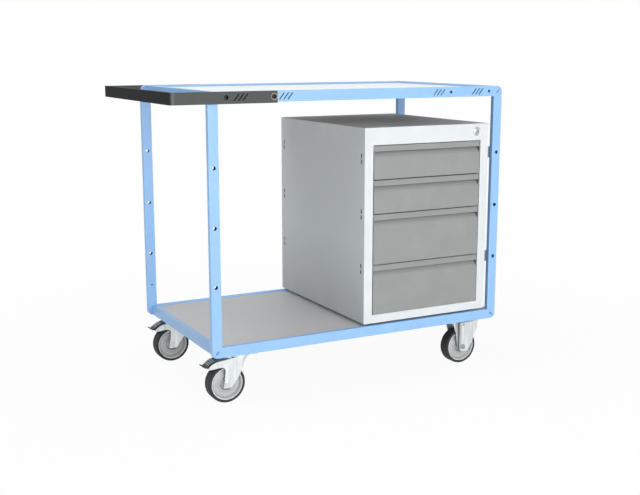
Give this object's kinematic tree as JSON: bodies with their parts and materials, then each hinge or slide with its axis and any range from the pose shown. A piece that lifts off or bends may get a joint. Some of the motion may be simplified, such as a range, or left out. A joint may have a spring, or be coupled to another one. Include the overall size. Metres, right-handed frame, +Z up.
{
  "type": "workbench tool cart",
  "caption": "Steel tool cart on castors: folded tube frame, push handle, top board, lower shelf and a lockable cabinet with drawers on telescopic runners.",
  "frame": {"origin": "centre of the bounding box on the floor, under the cart", "axes": "+X along the cart away from the push handle, +Y from the drawer fronts to the rear, +Z up"},
  "size_m": [1.062, 0.5912, 0.866],
  "materials": {
    "frame_paint": "satin powder coat, light blue",
    "handle_paint": "satin powder coat, anthracite",
    "board_laminate": "white melamine face on chipboard",
    "shelf_laminate": "light grey melamine face on chipboard",
    "carcass_paint": "fine textured powder coat, light grey",
    "drawer_paint": "fine textured powder coat, mid grey",
    "zinc": "bright zinc plate",
    "runner_steel": "bright zinc plated strip",
    "dark_steel": "black oxide finish",
    "rim_plastic": "grey polyamide",
    "tyre_rubber": "dark grey solid rubber",
    "pedal_steel": "dark blue-grey coating",
    "black_plastic": "black moulded plastic"
  },
  "bodies": {
    "frame": {"front_frame": "frame_paint", "rear_frame": "frame_paint", "end_rails": "frame_paint", "panel_cleats": "frame_paint", "castor_carriers": "frame_paint", "cabinet_brackets": "carcass_paint", "lower_shelf": "shelf_laminate", "top_board": "board_laminate", "push_handle": "handle_paint", "handle_bolts": "dark_steel", "rivet_nuts": "dark_steel", "bracket_bolts": "dark_steel", "castor_bolts": "zinc", "cabinet_shell": "carcass_paint", "cabinet_back": "carcass_paint", "cabinet_front_frame": "carcass_paint", "cabinet_uprights": "carcass_paint", "cabinet_feet": "black_plastic", "runner_outer_members": "runner_steel", "lock_housing": "zinc", "rigid_forks": "zinc", "rigid_axles": "zinc", "front_swivel_plate": "zinc", "rear_swivel_plate": "zinc"},
    "lock": {"lock_barrel": "runner_steel", "lock_cam": "runner_steel"},
    "lock_bar": {"lock_bar": "runner_steel"},
    "drawer_1": {"drawer_1_front": "drawer_paint", "drawer_1_box": "drawer_paint", "drawer_1_inner_members": "runner_steel"},
    "runner_1": {"drawer_1_middle_members": "runner_steel"},
    "drawer_2": {"drawer_2_front": "drawer_paint", "drawer_2_box": "drawer_paint", "drawer_2_inner_members": "runner_steel"},
    "runner_2": {"drawer_2_middle_members": "runner_steel"},
    "drawer_3": {"drawer_3_front": "drawer_paint", "drawer_3_box": "drawer_paint", "drawer_3_inner_members": "runner_steel"},
    "runner_3": {"drawer_3_middle_members": "runner_steel"},
    "drawer_4": {"drawer_4_front": "drawer_paint", "drawer_4_box": "drawer_paint", "drawer_4_inner_members": "runner_steel"},
    "runner_4": {"drawer_4_middle_members": "runner_steel"},
    "front_fork": {"front_swivel_fork": "zinc", "front_swivel_axle": "zinc"},
    "front_pedal": {"front_swivel_pedal": "pedal_steel"},
    "front_swivel_wheel": {"front_swivel_rim": "rim_plastic", "front_swivel_tyre": "tyre_rubber"},
    "front_rigid_wheel": {"front_rigid_rim": "rim_plastic", "front_rigid_tyre": "tyre_rubber"},
    "rear_fork": {"rear_swivel_fork": "zinc", "rear_swivel_axle": "zinc"},
    "rear_pedal": {"rear_swivel_pedal": "pedal_steel"},
    "rear_swivel_wheel": {"rear_swivel_rim": "rim_plastic", "rear_swivel_tyre": "tyre_rubber"},
    "rear_rigid_wheel": {"rear_rigid_rim": "rim_plastic", "rear_rigid_tyre": "tyre_rubber"}
  },
  "joints": [
    {"name": "lock_turn", "type": "hinge", "parent": "frame", "child": "lock", "pos_m": [0.444, -0.272, 0.732], "axis": [0, 1, 0], "range_deg": [0, 90]},
    {"name": "lock_bar_slide", "type": "slide", "parent": "frame", "child": "lock_bar", "axis": [0, 0, -1], "range_m": [0, 0.01131]},
    {"name": "drawer_1_slide", "type": "slide", "parent": "frame", "child": "drawer_1", "axis": [0, -1, 0], "range_m": [0, 0.4]},
    {"name": "runner_1_slide", "type": "slide", "parent": "frame", "child": "runner_1", "axis": [0, -1, 0], "range_m": [0, 0.2]},
    {"name": "drawer_2_slide", "type": "slide", "parent": "frame", "child": "drawer_2", "axis": [0, -1, 0], "range_m": [0, 0.4]},
    {"name": "runner_2_slide", "type": "slide", "parent": "frame", "child": "runner_2", "axis": [0, -1, 0], "range_m": [0, 0.2]},
    {"name": "drawer_3_slide", "type": "slide", "parent": "frame", "child": "drawer_3", "axis": [0, -1, 0], "range_m": [0, 0.4]},
    {"name": "runner_3_slide", "type": "slide", "parent": "frame", "child": "runner_3", "axis": [0, -1, 0], "range_m": [0, 0.2]},
    {"name": "drawer_4_slide", "type": "slide", "parent": "frame", "child": "drawer_4", "axis": [0, -1, 0], "range_m": [0, 0.4]},
    {"name": "runner_4_slide", "type": "slide", "parent": "frame", "child": "runner_4", "axis": [0, -1, 0], "range_m": [0, 0.2]},
    {"name": "front_swivel", "type": "hinge", "parent": "frame", "child": "front_fork", "pos_m": [-0.324, -0.222, 0.13], "axis": [0, 0, 1], "continuous": true},
    {"name": "front_pedal_press", "type": "hinge", "parent": "front_fork", "child": "front_pedal", "pos_m": [-0.386, -0.222, 0.116], "axis": [0, -1, 0], "range_deg": [0, 8]},
    {"name": "front_swivel_wheel_spin", "type": "hinge", "parent": "front_fork", "child": "front_swivel_wheel", "pos_m": [-0.366, -0.222, 0.055], "axis": [0, 1, 0], "continuous": true},
    {"name": "front_rigid_wheel_spin", "type": "hinge", "parent": "frame", "child": "front_rigid_wheel", "pos_m": [0.431, -0.222, 0.055], "axis": [0, 1, 0], "continuous": true},
    {"name": "rear_swivel", "type": "hinge", "parent": "frame", "child": "rear_fork", "pos_m": [-0.324, 0.222, 0.13], "axis": [0, 0, 1], "continuous": true},
    {"name": "rear_pedal_press", "type": "hinge", "parent": "rear_fork", "child": "rear_pedal", "pos_m": [-0.386, 0.222, 0.116], "axis": [0, -1, 0], "range_deg": [0, 8]},
    {"name": "rear_swivel_wheel_spin", "type": "hinge", "parent": "rear_fork", "child": "rear_swivel_wheel", "pos_m": [-0.366, 0.222, 0.055], "axis": [0, 1, 0], "continuous": true},
    {"name": "rear_rigid_wheel_spin", "type": "hinge", "parent": "frame", "child": "rear_rigid_wheel", "pos_m": [0.431, 0.222, 0.055], "axis": [0, 1, 0], "continuous": true}
  ],
  "couplings": [
    {"joint": "lock_turn", "follows": "lock_bar_slide", "rad_per_m": 138.84},
    {"joint": "runner_1_slide", "follows": "drawer_1_slide", "ratio": 0.5},
    {"joint": "runner_2_slide", "follows": "drawer_2_slide", "ratio": 0.5},
    {"joint": "runner_3_slide", "follows": "drawer_3_slide", "ratio": 0.5},
    {"joint": "runner_4_slide", "follows": "drawer_4_slide", "ratio": 0.5}
  ]
}
